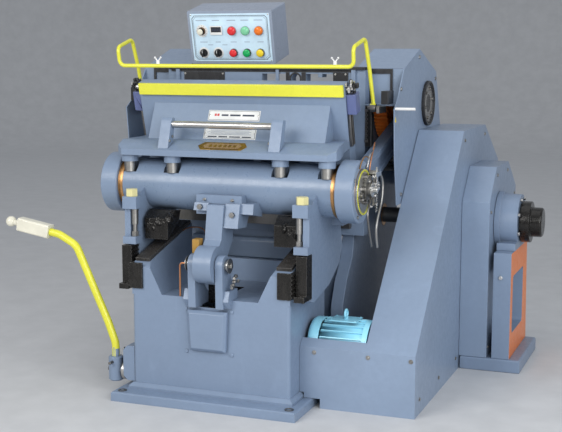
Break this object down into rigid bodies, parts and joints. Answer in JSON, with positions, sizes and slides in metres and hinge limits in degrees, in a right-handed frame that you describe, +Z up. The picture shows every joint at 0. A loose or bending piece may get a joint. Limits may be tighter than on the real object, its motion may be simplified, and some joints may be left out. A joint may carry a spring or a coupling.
{
  "type": "platen die cutting press",
  "caption": "Heavy floor-standing platen press for die cutting and creasing board, with a rocking platen, crank drive, guarded flywheel, control box and hand lever.",
  "frame": {"origin": "on the floor, in the platen's middle plane, directly under the platen's rocking pin", "axes": "+X to the operator's right along the pin, +Y from the operator towards the bed and drive, +Z up"},
  "size_m": [2.0855, 1.816, 1.6041],
  "materials": {
    "belt_rubber": "matte",
    "black_iron": "greasy, dark",
    "black_plastic": "matte",
    "bolt_steel": "plain",
    "bronze": "oiled bronze",
    "casting_paint": "satin enamel, worn at edges",
    "copper": "oxidised",
    "dark_steel": "oiled",
    "frame_paint": "satin enamel",
    "green_plastic": "gloss",
    "grey_iron": "machined and raw",
    "guard_paint": "semi-gloss enamel",
    "ivory_plastic": "gloss",
    "machined_steel": "machined",
    "motor_paint": "semi-gloss enamel",
    "orange_paint": "semi-gloss enamel",
    "panel_face": "satin",
    "plate_metal": "printed plate",
    "red_plastic": "gloss",
    "yellow_paint": "semi-gloss enamel",
    "yellow_plastic": "gloss"
  },
  "bodies": {
    "frame": {"base_plate": "casting_paint", "pedestal": "casting_paint", "front_cover": "casting_paint", "ramp_rails": "dark_steel", "toothed_blocks": "black_iron", "side_walls": "frame_paint", "bed": "frame_paint", "die_chase": "dark_steel", "gear_guards": "guard_paint", "edge_trims": "black_iron", "shaft_bearings": "bronze", "belt_guard": "guard_paint", "clutch_guard": "guard_paint", "motor_body": "motor_paint", "outboard_base": "casting_paint", "outboard_stand": "orange_paint", "outboard_bearing": "casting_paint", "frame_bolts": "bolt_steel", "control_box": "guard_paint", "control_panel": "panel_face", "panel_fittings": "black_plastic", "oil_pipes": "copper", "safety_bar_brackets": "dark_steel", "lever_bracket": "casting_paint", "v_belts": "belt_rubber", "rocking_pin": "machined_steel"},
    "platen_assembly": {"platen": "casting_paint", "platen_tube": "machined_steel", "platen_legs": "casting_paint", "guide_blocks": "black_iron", "platen_slides": "black_iron", "centre_arm": "casting_paint", "arm_saddle": "casting_paint", "platen_bolts": "bolt_steel", "leg_bolts": "yellow_paint", "platen_handle": "machined_steel", "platen_top_bar": "yellow_paint", "name_plates": "plate_metal", "gauge_blocks": "machined_steel"},
    "rods": {"connecting_rods": "casting_paint", "rod_bushes": "bronze"},
    "impression_eccentric": {"impression_shaft": "dark_steel"},
    "crank": {"crank_shaft": "dark_steel", "bull_gears": "grey_iron"},
    "intermediate": {"intermediate_shaft": "grey_iron"},
    "clutch": {"clutch_shaft": "grey_iron", "clutch_cap": "black_iron"},
    "flywheel_body": {"flywheel": "grey_iron"},
    "motor_rotor": {"motor_pulley": "grey_iron"},
    "hand_lever": {"lever_rod": "yellow_paint", "lever_grip": "ivory_plastic"},
    "safety_bar_body": {"safety_bar": "yellow_paint"},
    "stop_button_body": {"stop_button": "red_plastic"},
    "start_button_body": {"start_button": "green_plastic"},
    "inch_button_body": {"inch_button": "yellow_plastic"},
    "mode_selector_body": {"mode_selector": "black_plastic"},
    "speed_selector_body": {"speed_selector": "black_plastic"},
    "delay_dial_body": {"delay_dial": "black_plastic"}
  },
  "joints": [
    {"name": "platen_swing", "type": "hinge", "parent": "frame", "child": "platen_assembly", "pos_m": [0, 0, 0.568], "axis": [1, 0, 0], "range_deg": [-15.8, 35]},
    {"name": "rods_swing", "type": "hinge", "parent": "platen_assembly", "child": "rods", "pos_m": [0, 0.245, 0.85], "axis": [1, 0, 0], "range_deg": [-44, 20]},
    {"name": "impression_turn", "type": "hinge", "parent": "platen_assembly", "child": "impression_eccentric", "pos_m": [0, 0.245, 0.85], "axis": [1, 0, 0], "range_deg": [-30, 30]},
    {"name": "crank_turn", "type": "hinge", "parent": "frame", "child": "crank", "pos_m": [0, 1.045, 1.164], "axis": [1, 0, 0], "range_deg": [-134, 61]},
    {"name": "intermediate_turn", "type": "hinge", "parent": "frame", "child": "intermediate", "pos_m": [0, 1.0745, 0.9258], "axis": [1, 0, 0], "range_deg": [-141, 311]},
    {"name": "clutch_shaft_turn", "type": "hinge", "parent": "frame", "child": "clutch", "pos_m": [0, 1.11, 0.64], "axis": [1, 0, 0], "range_deg": [-518, 234]},
    {"name": "flywheel_spin", "type": "hinge", "parent": "frame", "child": "flywheel_body", "pos_m": [0, 1.11, 0.64], "axis": [1, 0, 0], "continuous": true},
    {"name": "motor_spin", "type": "hinge", "parent": "frame", "child": "motor_rotor", "pos_m": [0, 0.245, 0.238], "axis": [1, 0, 0], "continuous": true},
    {"name": "hand_lever_swing", "type": "hinge", "parent": "frame", "child": "hand_lever", "pos_m": [-0.44, 0.045, 0.092], "axis": [1, 0, 0], "range_deg": [-20, 20]},
    {"name": "safety_bar_swing", "type": "hinge", "parent": "frame", "child": "safety_bar_body", "pos_m": [0, 0.472, 1.168], "axis": [1, 0, 0], "range_deg": [-5, 8]},
    {"name": "stop_press", "type": "slide", "parent": "frame", "child": "stop_button_body", "axis": [0, 0.9724, 0.2334], "range_m": [0, 0.004], "stiffness_N_per_m": 600, "springref_m": -0.002},
    {"name": "start_press", "type": "slide", "parent": "frame", "child": "start_button_body", "axis": [0, 0.9724, 0.2334], "range_m": [0, 0.004], "stiffness_N_per_m": 600, "springref_m": -0.002},
    {"name": "inch_press", "type": "slide", "parent": "frame", "child": "inch_button_body", "axis": [0, 0.9724, 0.2334], "range_m": [0, 0.004], "stiffness_N_per_m": 600, "springref_m": -0.002},
    {"name": "mode_selector_turn", "type": "hinge", "parent": "frame", "child": "mode_selector_body", "pos_m": [-0.26, 0.54333, 1.38962], "axis": [0, 0.9724, 0.2334], "range_deg": [-45, 45]},
    {"name": "speed_selector_turn", "type": "hinge", "parent": "frame", "child": "speed_selector_body", "pos_m": [-0.192, 0.54333, 1.38962], "axis": [0, 0.9724, 0.2334], "range_deg": [-45, 45]},
    {"name": "delay_dial_turn", "type": "hinge", "parent": "frame", "child": "delay_dial_body", "pos_m": [-0.26, 0.52115, 1.48199], "axis": [0, 0.9724, 0.2334], "range_deg": [-150, 150]}
  ],
  "couplings": [
    {"joint": "rods_swing", "follows": "platen_swing", "ratio": -1.25},
    {"joint": "crank_turn", "follows": "platen_swing", "ratio": -3.8},
    {"joint": "intermediate_turn", "follows": "platen_swing", "ratio": 8.8667},
    {"joint": "clutch_shaft_turn", "follows": "platen_swing", "ratio": -14.778},
    {"joint": "motor_spin", "follows": "flywheel_spin", "ratio": 6.3333}
  ]
}
